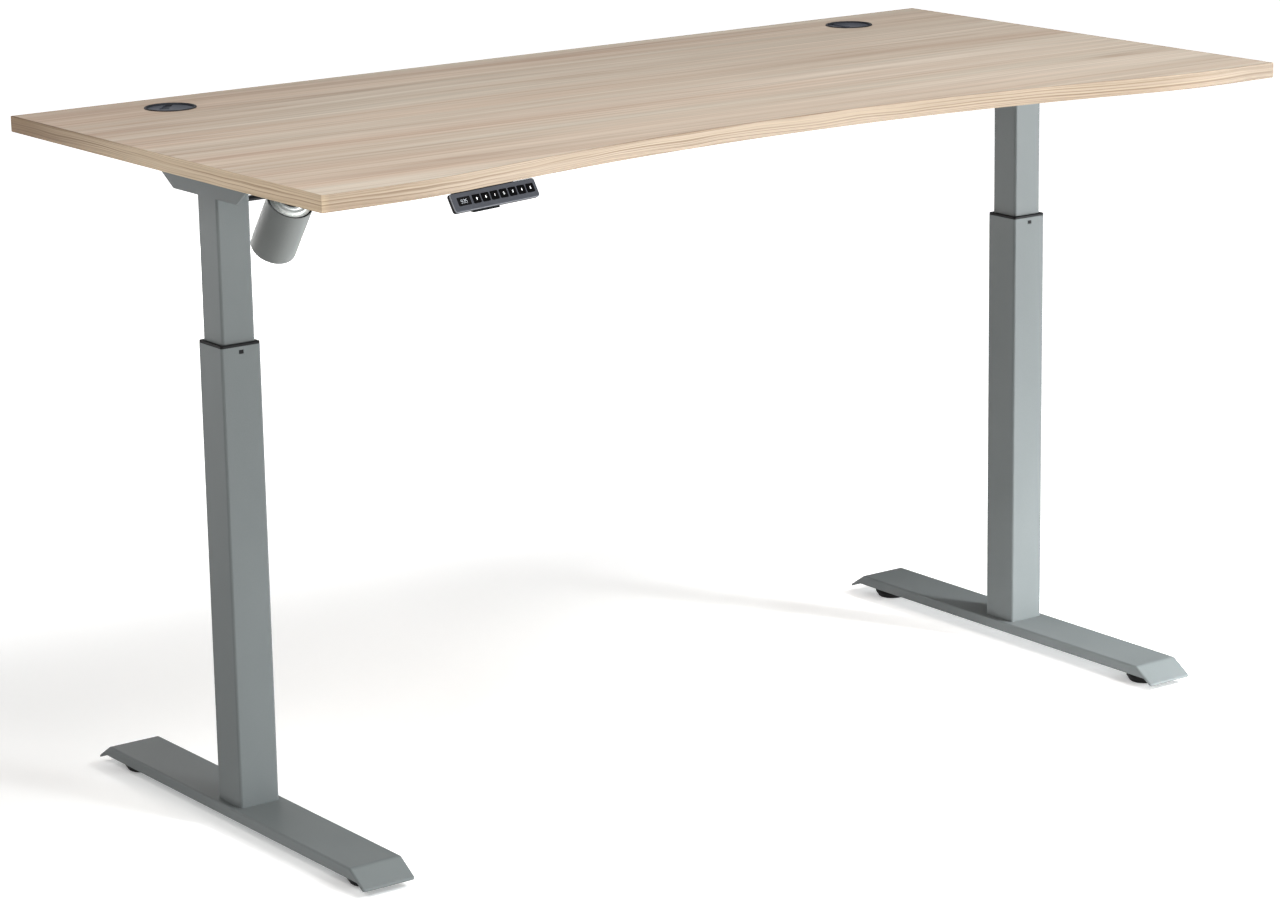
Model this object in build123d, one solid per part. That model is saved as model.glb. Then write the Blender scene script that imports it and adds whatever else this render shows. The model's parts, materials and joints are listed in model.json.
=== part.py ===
from build123d import *
import math
import os

# Height adjustable standing desk, single motor, two telescopic legs.
# Millimetres, +Z up, +X along the desk's width (left to right), -Y towards the person.
# The floor is z = 0.  Everything is drawn about the middle of the desktop and
# moved by Y_SHIFT when it is written, so the origin is under the middle of the whole object.

# ----------------------------------------------------------------- driving dimensions
TOP_W = 1600.0          # desktop width
TOP_D = 800.0           # desktop depth
TOP_T = 22.0            # desktop thickness
TOP_Z = 935.0           # height of the working surface as drawn
UND_Z = TOP_Z - TOP_T   # underside of the desktop
BAND = 2.0              # edge band thickness
BAY_DEPTH = 80.0        # how far the front edge is cut in at the middle
BAY_R = 2500.0          # radius of the concave bay
BAY_X = 715.0           # where the straight part of the front edge starts
GROMMET_X, GROMMET_Y = 600.0, 315.0
GROMMET_D = 72.0        # rim diameter
GROMMET_HOLE = 62.0
GROMMET_SINK = 4.8      # counterbore for the flange
GROMMET_CAP_T = 1.8     # turning cap, below the rim
GROMMET_RISE = 1.4      # rim above the working surface

LEG_X, LEG_Y = 690.0, 25.0
OUT_W, OUT_T = 60.0, 2.0     # outer (lower) tube
OUT_TOP = 667.0
COLLAR_T = 3.6               # collar flange on the outer tube
IN_W, IN_T = 50.0, 2.0       # inner (upper) tube
IN_BOT, IN_TOP = 237.0, 911.0
FOOT_W, FOOT_TOP, FOOT_S = 80.0, 34.0, 3.0
FOOT_FLANGE_Z = 19.0
FOOT_BEND_R = 12.0      # outer radius of the bend
FOOT_BEND = 318.0       # bend line of the end flap, from the leg's centre
FOOT_TIP_Y, FOOT_TIP_Z = 351.5, 12.5
GLIDE_Y, GLIDE_R = 294.0, 26.0

SHAFT_Z = 855.0         # cross shaft height
HEX_AF = 7.0            # hexagon across flats
BEVEL_N = 20            # bevel teeth, module 1
SPIN_R = 7.0            # spindle radius
SPIN_BOT = 240.0
NUT_TOP = 555.0

MOTOR_X = -571.0
MOTOR_TILT = 35.4       # motor axis from vertical, bottom towards the rear
WORM_A = 13.7           # worm centre distance
MOTOR_R = 31.7
MOTOR_TOP_S, MOTOR_BOT_S = 33.1, 120.5   # cover, along the motor axis from the worm

RAIL_W, RAIL_H, RAIL_T = 20.0, 40.0, 2.0
RAIL_DY = 45.0          # rail centres in front of and behind the cross shaft
RAIL_Z = UND_Z - RAIL_H

HAND_L = 149.0          # handset length
HAND_X = -538.93
HAND_ROT = 11.2         # follows the slope of the curved front edge
FACE_F, FACE_D = 11.95, 22.19   # the face runs this far forward and this far down
BTN_W, BTN_H, BTN_PITCH = 13.0, 11.2, 15.83

Y_SHIFT = 1.5116         # centres the object's box on the origin

os.makedirs("parts", exist_ok=True)


def write(name, *solids):
    flat = []
    for s in solids:
        flat += list(s.solids())
    flat = [Pos(0, Y_SHIFT, 0) * s for s in flat]
    shape = flat[0] if len(flat) == 1 else Compound(children=flat)
    shape.label = name
    export_step(shape, f"parts/{name}.step")


def box(x0, x1, y0, y1, z0, z1):
    return Pos((x0 + x1) / 2, (y0 + y1) / 2, (z0 + z1) / 2) * Box(abs(x1 - x0), abs(y1 - y0), abs(z1 - z0))


def cyl_z(x, y, z0, z1, r):
    return Pos(x, y, (z0 + z1) / 2) * Cylinder(r, abs(z1 - z0))


def cyl_x(x0, x1, y, z, r):
    return Pos((x0 + x1) / 2, y, z) * (Rot(0, 90, 0) * Cylinder(r, abs(x1 - x0)))


def cyl_y(x, y0, y1, z, r):
    return Pos(x, (y0 + y1) / 2, z) * (Rot(90, 0, 0) * Cylinder(r, abs(y1 - y0)))


def prism(face, z0, z1):
    return Pos(0, 0, z0) * extrude(face, z1 - z0)


def rounded(w, h, r):
    return RectangleRounded(w, h, r)


# ----------------------------------------------------------------- desktop
bay_small = (BAY_X ** 2 + BAY_DEPTH ** 2) / (2 * BAY_DEPTH) - BAY_R   # radius of the outward bends
sx = BAY_X * BAY_R / (BAY_R + bay_small)
ang = math.asin(BAY_X / (BAY_R + bay_small))
y_front, y_mid = -TOP_D / 2, -TOP_D / 2 + BAY_DEPTH
y_infl = y_mid - BAY_R * (1 - math.cos(ang))
half = ang / 2
c1 = (BAY_X - bay_small * math.sin(half), y_front + bay_small * (1 - math.cos(half)))
with BuildLine() as outline:
    Line((-TOP_W / 2, TOP_D / 2), (-TOP_W / 2, y_front))
    Line((-TOP_W / 2, y_front), (-BAY_X, y_front))
    ThreePointArc((-BAY_X, y_front), (-c1[0], c1[1]), (-sx, y_infl))
    ThreePointArc((-sx, y_infl), (0, y_mid), (sx, y_infl))
    ThreePointArc((sx, y_infl), (c1[0], c1[1]), (BAY_X, y_front))
    Line((BAY_X, y_front), (TOP_W / 2, y_front))
    Line((TOP_W / 2, y_front), (TOP_W / 2, TOP_D / 2))
    Line((TOP_W / 2, TOP_D / 2), (-TOP_W / 2, TOP_D / 2))
full_face = make_face(outline.edges())
core_face = offset(full_face, -BAND, kind=Kind.INTERSECTION)
slab = prism(full_face, UND_Z, TOP_Z)
rim = [e for e in slab.edges() if abs(e.center().Z - TOP_Z) < 0.01 or abs(e.center().Z - UND_Z) < 0.01]
slab = fillet(rim, 0.8)
core_tool = prism(core_face, UND_Z - 1, TOP_Z + 1)
band = slab - core_tool
panel = prism(core_face, UND_Z, TOP_Z)
for gx in (-GROMMET_X, GROMMET_X):
    panel -= cyl_z(gx, GROMMET_Y, UND_Z - 1, TOP_Z + 1, GROMMET_HOLE / 2)
    panel -= cyl_z(gx, GROMMET_Y, TOP_Z - GROMMET_SINK, TOP_Z + 1, GROMMET_D / 2 + 0.3)
write("desktop_panel", panel)
write("desktop_edge_band", band)


# ----------------------------------------------------------------- cable grommets
def ring_solid(r0, r1, z0, z1, x, y):
    return cyl_z(x, y, z0, z1, r1) - cyl_z(x, y, z0 - 1, z1 + 1, r0)


def outlet(grow):
    """Keyhole-shaped cable outlet, beside the middle and open towards local +X."""
    strip = Pos(18.0, 8.6) * Rectangle(40.0, 10.8 + 2 * grow)
    return strip + Pos(-2.0, 8.6) * Circle(7.2 + grow)


for side, gx, cap_deg, shelf_deg in (("left", -GROMMET_X, 48.0, 48.0), ("right", GROMMET_X, 93.0, 273.0)):
    gy = GROMMET_Y
    z0, z1, z2 = TOP_Z - GROMMET_SINK, TOP_Z - GROMMET_SINK + 1.4, TOP_Z + GROMMET_RISE
    rim = ring_solid(GROMMET_D / 2 - 3.0, GROMMET_D / 2, z0, z2, gx, gy)
    tip = [e for e in rim.edges() if e.geom_type == GeomType.CIRCLE and abs(e.center().Z - z2) < 0.01]
    rim = fillet(tip, 0.9)
    flange = ring_solid(GROMMET_D / 2 - 12.0, GROMMET_D / 2 - 2.0, z0, z1, gx, gy)
    sleeve = ring_solid(GROMMET_HOLE / 2 - 2.4, GROMMET_HOLE / 2 - 0.2, TOP_Z - 20.0, z0 + 0.5, gx, gy)
    # a shelf over part of the opening closes the cap's outlet when the two line up
    shelf = Pos(gx, gy, z0) * Rot(0, 0, shelf_deg) * extrude(outlet(2.0), z1 - z0)
    shelf = shelf & cyl_z(gx, gy, z0 - 5, z1 + 5, GROMMET_HOLE / 2 - 2.0)
    ring = rim + flange + sleeve + shelf
    write(f"{side}_grommet_ring", ring)
    zc = z1 + 0.3 + GROMMET_CAP_T
    cap = cyl_z(gx, gy, z1 + 0.3, zc, GROMMET_D / 2 - 3.5)
    cap_top = [e for e in cap.edges() if e.geom_type == GeomType.CIRCLE and abs(e.center().Z - zc) < 0.01]
    cap = fillet(cap_top, 0.5)
    cap -= Pos(gx, gy, z0) * Rot(0, 0, cap_deg) * extrude(outlet(0.0), 10)
    write(f"{side}_grommet_cap", cap)


# ----------------------------------------------------------------- legs, feet and glides
def foot(x):
    """One sheet bent down at both ends, with a short flange along each side."""
    slope = math.atan2(FOOT_TOP - FOOT_TIP_Z, FOOT_TIP_Y - FOOT_BEND)
    inset = FOOT_S * math.tan(slope / 2)
    tip_in = (FOOT_TIP_Y - FOOT_S * math.sin(slope), FOOT_TIP_Z - FOOT_S * math.cos(slope))
    with BuildLine() as line:
        FilletPolyline((-FOOT_TIP_Y, FOOT_TIP_Z), (-FOOT_BEND, FOOT_TOP), (FOOT_BEND, FOOT_TOP), (FOOT_TIP_Y, FOOT_TIP_Z), radius=FOOT_BEND_R)
        Line((FOOT_TIP_Y, FOOT_TIP_Z), tip_in)
        FilletPolyline(tip_in, (FOOT_BEND - inset, FOOT_TOP - FOOT_S), (inset - FOOT_BEND, FOOT_TOP - FOOT_S), (-tip_in[0], tip_in[1]),
                       radius=FOOT_BEND_R - FOOT_S)
        Line((-tip_in[0], tip_in[1]), (-FOOT_TIP_Y, FOOT_TIP_Z))
    side = Plane(origin=(x - FOOT_W / 2, LEG_Y, 0), x_dir=(0, 1, 0), z_dir=(1, 0, 0))
    sheet = extrude(side * make_face(line.edges()), FOOT_W)
    tips = [e for e in sheet.edges() if abs(e.length - FOOT_S) < 0.01 and abs(e.center().Y - LEG_Y) > FOOT_TIP_Y - 5]
    sheet = fillet(tips, 4.0)
    top_edges = [e for e in sheet.edges() if abs(abs(e.center().X - x) - FOOT_W / 2) < 0.01 and abs(e.center().Z - FOOT_TOP) < 0.01]
    sheet = fillet(top_edges, 2.8)
    # the flange's outline: straight below, and on top 0.2 mm inside the underside of the sheet as far as the bent ends
    g = FOOT_S - 0.2
    gy, gz = FOOT_BEND - g * math.tan(slope / 2), FOOT_TOP - g
    ge = gy + (gz - FOOT_FLANGE_Z) / math.tan(slope)
    with BuildLine() as rim:
        FilletPolyline((-ge, FOOT_FLANGE_Z), (-gy, gz), (gy, gz), (ge, FOOT_FLANGE_Z), radius=FOOT_BEND_R - g)
        Line((ge, FOOT_FLANGE_Z), (-ge, FOOT_FLANGE_Z))
    web = make_face(rim.edges())
    body = sheet + extrude(side * web, FOOT_S)
    far = Plane(origin=(x + FOOT_W / 2 - FOOT_S, LEG_Y, 0), x_dir=(0, 1, 0), z_dir=(1, 0, 0))
    body += extrude(far * web, FOOT_S)
    for bx in (-20, 20):
        for by in (-20, 20):
            body -= cyl_z(x + bx, LEG_Y + by, 20, 40, 3.3)
    return body


def out_tube(x):
    face = rounded(OUT_W, OUT_W, 3.5) - rounded(OUT_W - 2 * OUT_T, OUT_W - 2 * OUT_T, 1.5)
    t = prism(Pos(x, LEG_Y) * face, FOOT_TOP, OUT_TOP)
    for s in (-1, 1):
        t -= box(x - 3.6, x + 3.6, LEG_Y + s * 25, LEG_Y + s * 35, OUT_TOP - 10.0, OUT_TOP - 4.6)
    return t


def in_tube(x):
    face = rounded(IN_W, IN_W, 3.5) - rounded(IN_W - 2 * IN_T, IN_W - 2 * IN_T, 1.5)
    t = prism(Pos(x, LEG_Y) * face, IN_BOT, IN_TOP)
    inb = -1 if x > 0 else 1
    t -= cyl_x(x + inb * 20, x + inb * 30, LEG_Y, SHAFT_Z, 8.0)
    for by in (-14, 14):
        t -= cyl_x(x - inb * 30, x - inb * 20, LEG_Y + by, 896, 3.2)
    return t


def collar(x):
    # top flange covers the gap; the sleeve guides the inner tube; two snap tabs sit in the tube's windows
    hole = rounded(IN_W + 0.8, IN_W + 0.8, 3.9)
    top = prism(Pos(x, LEG_Y) * (rounded(OUT_W - 0.4, OUT_W - 0.4, 3.3) - hole), OUT_TOP, OUT_TOP + COLLAR_T)
    lip = [e for e in top.edges() if abs(e.center().Z - OUT_TOP - COLLAR_T) < 0.01
           and max(abs(e.center().X - x), abs(e.center().Y - LEG_Y)) > 27]
    top = fillet(lip, 0.8)
    sleeve = prism(Pos(x, LEG_Y) * (rounded(OUT_W - 2 * OUT_T, OUT_W - 2 * OUT_T, 1.5) - hole), OUT_TOP - 40, OUT_TOP)
    c = top + sleeve
    for s in (-1, 1):
        c += box(x - 3.3, x + 3.3, min(LEG_Y + s * 27.5, LEG_Y + s * 29.6), max(LEG_Y + s * 27.5, LEG_Y + s * 29.6),
                 OUT_TOP - 9.7, OUT_TOP - 4.9)
    return c


def nut_column(x):
    c = prism(Pos(x, LEG_Y) * rounded(55.8, 55.8, 1.5), FOOT_TOP, FOOT_TOP + 6)
    c += cyl_z(x, LEG_Y, FOOT_TOP, NUT_TOP - 30, 14.0)
    c -= cyl_z(x, LEG_Y, FOOT_TOP - 1, NUT_TOP, 12.0)
    for bx in (-20, 20):
        for by in (-20, 20):
            c -= cyl_z(x + bx, LEG_Y + by, 20, 50, 3.0)
    return c


def spindle_nut(x):
    n = cyl_z(x, LEG_Y, NUT_TOP - 30, NUT_TOP, 16.0) + cyl_z(x, LEG_Y, NUT_TOP - 50, NUT_TOP - 30, 12.0)
    return n - cyl_z(x, LEG_Y, NUT_TOP - 60, NUT_TOP + 1, SPIN_R + 0.3)


foot_fasteners, columns, spindle_nuts = [], [], []
for side, x in (("left", -LEG_X), ("right", LEG_X)):
    write(f"{side}_foot", foot(x))
    write(f"{side}_outer_tube", out_tube(x))
    write(f"{side}_inner_tube", in_tube(x))
    write(f"{side}_guide_collar", collar(x))
    columns.append(nut_column(x))
    spindle_nuts.append(spindle_nut(x))
    for bx in (-20, 20):
        for by in (-20, 20):
            b = cyl_z(x + bx, LEG_Y + by, FOOT_TOP - FOOT_S, FOOT_TOP + 6, 3.0)
            h = cyl_z(x + bx, LEG_Y + by, FOOT_TOP - FOOT_S - 5, FOOT_TOP - FOOT_S, 5.5)
            h -= Pos(x + bx, LEG_Y + by, FOOT_TOP - FOOT_S - 5) * extrude(RegularPolygon(2.9, 6), 3)
            foot_fasteners.append(b + h)
    for end, s in (("front", -1), ("rear", 1)):
        gy = LEG_Y + s * GLIDE_Y
        n = Pos(x, gy, 0) * prism(RegularPolygon(7.5, 6), 22.5, FOOT_TOP - FOOT_S) - cyl_z(x, gy, 20, 40, 4.3)
        foot_fasteners.append(n)
        # cupped pad, wider at the top than where it stands on the floor
        pad = Pos(x, gy, 0) * loft([Circle(GLIDE_R - 5.0), Pos(0, 0, 8) * Circle(GLIDE_R)]) + cyl_z(x, gy, 8, 12, GLIDE_R)
        high = [e for e in pad.edges() if e.geom_type == GeomType.CIRCLE and e.center().Z > 11.9]
        pad = fillet(high, 2.0)
        low = [e for e in pad.edges() if e.geom_type == GeomType.CIRCLE and e.center().Z < 0.1]
        pad = fillet(low, 2.0)
        pad += cyl_z(x, gy, 12, 15, 9.0)
        stud = cyl_z(x, gy, 15, FOOT_TOP - FOOT_S - 0.5, 4.0)
        write(f"{side}_{end}_glide", pad, stud)
write("foot_fasteners", *foot_fasteners)
write("nut_columns", *columns)
write("spindle_nuts", *spindle_nuts)

# slippery pads riveted round the lower end of each inner tube
pads = []
for x in (-LEG_X, LEG_X):
    for s in (-1, 1):
        pads.append(box(x - 15, x + 15, *sorted((LEG_Y + s * 25, LEG_Y + s * 27.6)), IN_BOT + 4, IN_BOT + 54))
        pads.append(box(*sorted((x + s * 25, x + s * 27.6)), LEG_Y - 15, LEG_Y + 15, IN_BOT + 4, IN_BOT + 54))
write("sliding_pads", *pads)


# ----------------------------------------------------------------- drive: bevel gears, shaft, spindles
def bevel():
    """Straight bevel gear about +Z, pitch cone apex at the origin, big end at z = 10, small end at z = 6."""
    p = BEVEL_N / 2.0

    def outline(k):
        pts = []
        step = 360.0 / BEVEL_N
        for i in range(BEVEL_N):
            c = i * step
            for a, r in ((c - 4.9, p - 1.15), (c - 2.4, p + 0.6), (c + 2.4, p + 0.6), (c + 4.9, p - 1.15)):
                pts.append((k * r * math.cos(math.radians(a)), k * r * math.sin(math.radians(a))))
        return make_face(Polyline(*pts, close=True).edges())

    return loft([Pos(0, 0, p) * outline(1.0), Pos(0, 0, 0.6 * p) * outline(0.6)], ruled=True)


tooth = bevel()
shaft_bevels = []
for side, x in (("left", -LEG_X), ("right", LEG_X)):
    inb = 1 if x < 0 else -1
    # driven gear on top of the spindle, below the cross shaft
    g = Pos(x, LEG_Y, SHAFT_Z) * Rot(180, 0, 0) * tooth
    g += cyl_z(x, LEG_Y, SHAFT_Z - 17, SHAFT_Z - 10, 8.0)
    g -= cyl_z(x, LEG_Y, SHAFT_Z - 30, SHAFT_Z, 5.0)
    rod = cyl_z(x, LEG_Y, SPIN_BOT, SHAFT_Z - 29, SPIN_R) + cyl_z(x, LEG_Y, SHAFT_Z - 29, SHAFT_Z - 6, 5.0)
    rod = chamfer([e for e in rod.edges() if e.center().Z < SPIN_BOT + 0.1], 1.5)
    write(f"{side}_spindle", rod, g)
    # driving gear on the cross shaft, half a tooth round so that it meshes
    d = Pos(x, LEG_Y, SHAFT_Z) * Rot(0, 90 * inb, 0) * Rot(0, 0, 180.0 / BEVEL_N) * tooth
    d += cyl_x(*sorted((x + inb * 10, x + inb * 21)), LEG_Y, SHAFT_Z, 6.2)
    hexa = Plane(origin=(x, LEG_Y, SHAFT_Z), x_dir=(0, 1, 0), z_dir=(1, 0, 0)) * RegularPolygon(HEX_AF / 2, 6, major_radius=False)
    d -= extrude(hexa, 60 * inb)
    shaft_bevels.append(d)
hexa = Plane(origin=(-LEG_X + 6.6, LEG_Y, SHAFT_Z), x_dir=(0, 1, 0), z_dir=(1, 0, 0)) * RegularPolygon(
    HEX_AF / 2, 6, major_radius=False)
write("cross_shaft", extrude(hexa, 2 * LEG_X - 13.2))
write("shaft_bevels", *shaft_bevels)

housings, bearings = [], []
for side, x in (("left", -LEG_X), ("right", LEG_X)):
    inb = 1 if x < 0 else -1
    h = prism(Pos(x, LEG_Y) * rounded(45.8, 45.8, 1.4), SHAFT_Z - 29, SHAFT_Z + 50)
    h -= cyl_z(x, LEG_Y, SHAFT_Z - 18, SHAFT_Z + 15, 16.5)
    h -= cyl_z(x, LEG_Y, SHAFT_Z - 30, SHAFT_Z - 20, 14.0)
    h -= cyl_z(x, LEG_Y, SHAFT_Z - 30, SHAFT_Z, 9.0)
    h -= cyl_x(*sorted((x + inb * 5, x + inb * 30)), LEG_Y, SHAFT_Z, 6.8)
    h -= box(x - 12, x + 12, LEG_Y - 12, LEG_Y + 12, SHAFT_Z + 19, SHAFT_Z + 60)
    for by in (-14, 14):
        h -= cyl_x(*sorted((x - inb * 30, x - inb * 14)), LEG_Y + by, 896, 3.0)
    housings.append(h)
    b = cyl_z(x, LEG_Y, SHAFT_Z - 29, SHAFT_Z - 20, 14.0) - cyl_z(x, LEG_Y, SHAFT_Z - 40, SHAFT_Z, 5.3)
    bearings.append(b)
write("gear_housings", *housings)
write("spindle_bearings", *bearings)

# ----------------------------------------------------------------- motor and gearbox
t = math.radians(MOTOR_TILT)
a_dir = (0.0, math.sin(t), -math.cos(t))
n_dir = (0.0, math.cos(t), math.sin(t))
WORM = (MOTOR_X, LEG_Y + WORM_A * n_dir[1], SHAFT_Z + WORM_A * n_dir[2])
mplane = Plane(origin=WORM, x_dir=(1, 0, 0), z_dir=a_dir)


def mcyl(s0, s1, r):
    return mplane.location * (Pos(0, 0, (s0 + s1) / 2) * Cylinder(r, s1 - s0))


cover = Pos(0, 0, (MOTOR_TOP_S + MOTOR_BOT_S) / 2) * Cylinder(MOTOR_R, MOTOR_BOT_S - MOTOR_TOP_S)
cover = fillet([e for e in cover.edges() if e.geom_type == GeomType.CIRCLE and e.center().Z > MOTOR_BOT_S - 0.1], 5.0)
void = Pos(0, 0, (MOTOR_TOP_S + MOTOR_BOT_S) / 2 - 2.0) * Cylinder(MOTOR_R - 1.6, MOTOR_BOT_S - MOTOR_TOP_S)
void = fillet([e for e in void.edges() if e.geom_type == GeomType.CIRCLE and e.center().Z > MOTOR_BOT_S - 2.1], 3.5)
cover = cover - void
cover = fillet([e for e in cover.edges() if e.geom_type == GeomType.CIRCLE and e.center().Z < MOTOR_TOP_S + 0.1], 0.5)
write("motor_cover", mplane.location * cover)

can = Pos(0, 0, (36.1 + 116.5) / 2) * Cylinder(28.3, 116.5 - 36.1)
can = fillet([e for e in can.edges() if e.geom_type == GeomType.CIRCLE and e.center().Z > 116.4], 3.0)
can -= Pos(0, 0, 74.3) * Cylinder(25.8, 76.4)
write("motor_can", mplane.location * can)
# plated end cap of the motor, stepped, seen inside the cover's rim
cap = Pos(0, 0, 35.1) * Cylinder(28.3, 2.0) + Pos(0, 0, 32.6) * Cylinder(22.8, 3.0) + Pos(0, 0, 30.3) * Cylinder(17.0, 1.6)
cap += Pos(0, 0, 37.1) * Cylinder(25.7, 2.0)
cap = fillet([e for e in cap.edges() if e.geom_type == GeomType.CIRCLE and e.center().Z < 31.2], 0.7)
cap -= Pos(0, 0, 34.1) * Cylinder(3.6, 20.0)
write("motor_end_cap", mplane.location * cap)
seal = Pos(0, 0, 35.3) * (Cylinder(30.1, 2.6) - Cylinder(28.3, 4.0))
write("motor_seal_ring", mplane.location * seal)

block = box(MOTOR_X - 22, MOTOR_X + 22, 9.0, 52.0, 839.5, 868)
block = fillet([e for e in block.edges() if abs(e.length - 44.0) < 0.01 and e.center().Z < 840], 5.0)
block += mcyl(-17.5, 29.5, 9.0)              # worm housing
block += mcyl(25.7, 29.5, 13.5)              # flange on the motor's end cap
block += box(MOTOR_X - 32, MOTOR_X + 32, LEG_Y - 58, LEG_Y + 58, 867, RAIL_Z)
block -= mplane.location * (Pos(0, 0, 29.5 + 50) * Box(200, 200, 100))
block -= cyl_x(MOTOR_X - 7, MOTOR_X + 7, LEG_Y, SHAFT_Z, 11.4)
block -= cyl_x(MOTOR_X - 60, MOTOR_X + 60, LEG_Y, SHAFT_Z, 5.0)
block -= mcyl(-14.5, 60, 5.0)
gb_screws = []
for bx in (-26, 26):
    for by in (-RAIL_DY, RAIL_DY):
        block -= cyl_z(MOTOR_X + bx, LEG_Y + by, 860, 880, 2.7)
        s = cyl_z(MOTOR_X + bx, LEG_Y + by, 867, RAIL_Z + 8, 2.5) + cyl_z(MOTOR_X + bx, LEG_Y + by, 863.5, 867, 4.5)
        s -= Pos(MOTOR_X + bx, LEG_Y + by, 863.5) * extrude(RegularPolygon(2.2, 6), 2)
        gb_screws.append(s)
write("gearbox_left_half", block & box(MOTOR_X - 80, MOTOR_X, -200, 200, 700, 900))
write("gearbox_right_half", block & box(MOTOR_X, MOTOR_X + 80, -200, 200, 700, 900))

# worm wheel on the cross shaft
wheel_pts = []
for i in range(18):
    c = i * 20.0
    for a, r in ((c - 5.2, 8.0), (c - 2.6, 9.4), (c + 2.6, 9.4), (c + 5.2, 8.0)):
        wheel_pts.append((r * math.cos(math.radians(a)), r * math.sin(math.radians(a))))
wface = make_face(Polyline(*wheel_pts, close=True).edges()) - RegularPolygon(HEX_AF / 2, 6, major_radius=False)
wp = Plane(origin=(MOTOR_X - 4, LEG_Y, SHAFT_Z), x_dir=(0, 1, 0), z_dir=(1, 0, 0))
write("worm_wheel", extrude(wp * wface, 8.0))
worm = mcyl(-9.0, 9.0, 3.9) + mcyl(-13.5, 98.0, 2.9)
write("motor_worm_shaft", worm)

# ----------------------------------------------------------------- frame under the desktop
rails = {}
for name, ry in (("front_rail", LEG_Y - RAIL_DY), ("rear_rail", LEG_Y + RAIL_DY)):
    face = rounded(RAIL_W, RAIL_H, 2.0) - rounded(RAIL_W - 2 * RAIL_T, RAIL_H - 2 * RAIL_T, 0.8)
    rp = Plane(origin=(-661, ry, RAIL_Z + RAIL_H / 2), x_dir=(0, 1, 0), z_dir=(1, 0, 0))
    r = extrude(rp * face, 1322)
    inner = 1 if ry < LEG_Y else -1
    for sx_ in (-1, 1):
        for hx in (643, 611):
            r -= cyl_y(sx_ * hx, *sorted((ry + inner * 4, ry + inner * 12)), RAIL_Z + 20, 3.2)
    for bx in (-26, 26):
        r -= cyl_z(MOTOR_X + bx, ry, RAIL_Z - 2, RAIL_Z + 3, 2.7)
    rails[name] = r
    write(name, r)

frame_bolts = list(gb_screws)
desk_screws = []


def wood_screw(x, y, z_head):
    """Pan head below, shank up into the board."""
    s = cyl_z(x, y, z_head - 2.5, z_head, 4.5) + cyl_z(x, y, z_head, UND_Z + 13, 2.2)
    return s - Pos(x, y, z_head - 2.5) * extrude(Rectangle(1.2, 5.0) + Rectangle(5.0, 1.2), 1.5)


for side, x in (("left", -LEG_X), ("right", LEG_X)):
    inb = 1 if x < 0 else -1
    # outer arm: upright plate on the outside of the inner tube with its top turned outwards
    prof = make_face(Polyline((-136.0, UND_Z), (-136.0, UND_Z - 6), (-81.0, 865.5), (81.0, 865.5), (148.0, UND_Z - 6),
                              (148.0, UND_Z), close=True).edges())
    sp = Plane(origin=(x - inb * 25, LEG_Y, 0), x_dir=(0, 1, 0), z_dir=(1, 0, 0))
    arm = extrude(sp * prof, -3.0 * inb)
    low = [e for e in arm.edges() if abs(e.length - 3.0) < 0.01 and e.center().Z < 866]
    arm = fillet(low, 10.0)
    arm += box(*sorted((x - inb * 25, x - inb * 70)), LEG_Y - 136, LEG_Y + 148, UND_Z - 3, UND_Z)
    for by in (-14, 14):
        arm -= cyl_x(*sorted((x - inb * 20, x - inb * 35)), LEG_Y + by, 896, 3.2)
        b = cyl_x(*sorted((x - inb * 16, x - inb * 28)), LEG_Y + by, 896, 3.0)
        b += cyl_x(*sorted((x - inb * 28, x - inb * 31.5)), LEG_Y + by, 896, 5.5)
        frame_bolts.append(b)
    for by in (-105, 0, 115):
        arm -= cyl_z(x - inb * 52, LEG_Y + by, UND_Z - 8, UND_Z + 2, 2.5)
        desk_screws.append(wood_screw(x - inb * 52, LEG_Y + by, UND_Z - 3))
    write(f"{side}_side_bracket", arm)
    # head bracket: web against the inner tube, two ears for the rails, a tab for the board
    web = box(*sorted((x + inb * 25, x + inb * 29)), LEG_Y - 73, LEG_Y + 73, RAIL_Z, UND_Z - 1)
    for s in (-1, 1):
        web += box(*sorted((x + inb * 28, x + inb * 92)), *sorted((LEG_Y + s * 35, LEG_Y + s * 32)), RAIL_Z + 5, UND_Z - 5)
        for hx in (643, 611):
            web -= cyl_y(math.copysign(hx, x), *sorted((LEG_Y + s * 28, LEG_Y + s * 38)), RAIL_Z + 20, 3.2)
            b = cyl_y(math.copysign(hx, x), *sorted((LEG_Y + s * 32, LEG_Y + s * 42)), RAIL_Z + 20, 3.0)
            b += cyl_y(math.copysign(hx, x), *sorted((LEG_Y + s * 28, LEG_Y + s * 32)), RAIL_Z + 20, 5.5)
            frame_bolts.append(b)
    web += box(*sorted((x + inb * 28, x + inb * 62)), LEG_Y - 24, LEG_Y + 24, UND_Z - 4, UND_Z)
    web += box(*sorted((x + inb * 25, x + inb * 29)), LEG_Y - 24, LEG_Y + 24, UND_Z - 4, UND_Z)
    for by in (-13, 13):
        web -= cyl_z(x + inb * 48, LEG_Y + by, UND_Z - 8, UND_Z + 2, 2.5)
        desk_screws.append(wood_screw(x + inb * 48, LEG_Y + by, UND_Z - 4))
    write(f"{side}_head_bracket", web)
write("frame_bolts", *frame_bolts)

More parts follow.
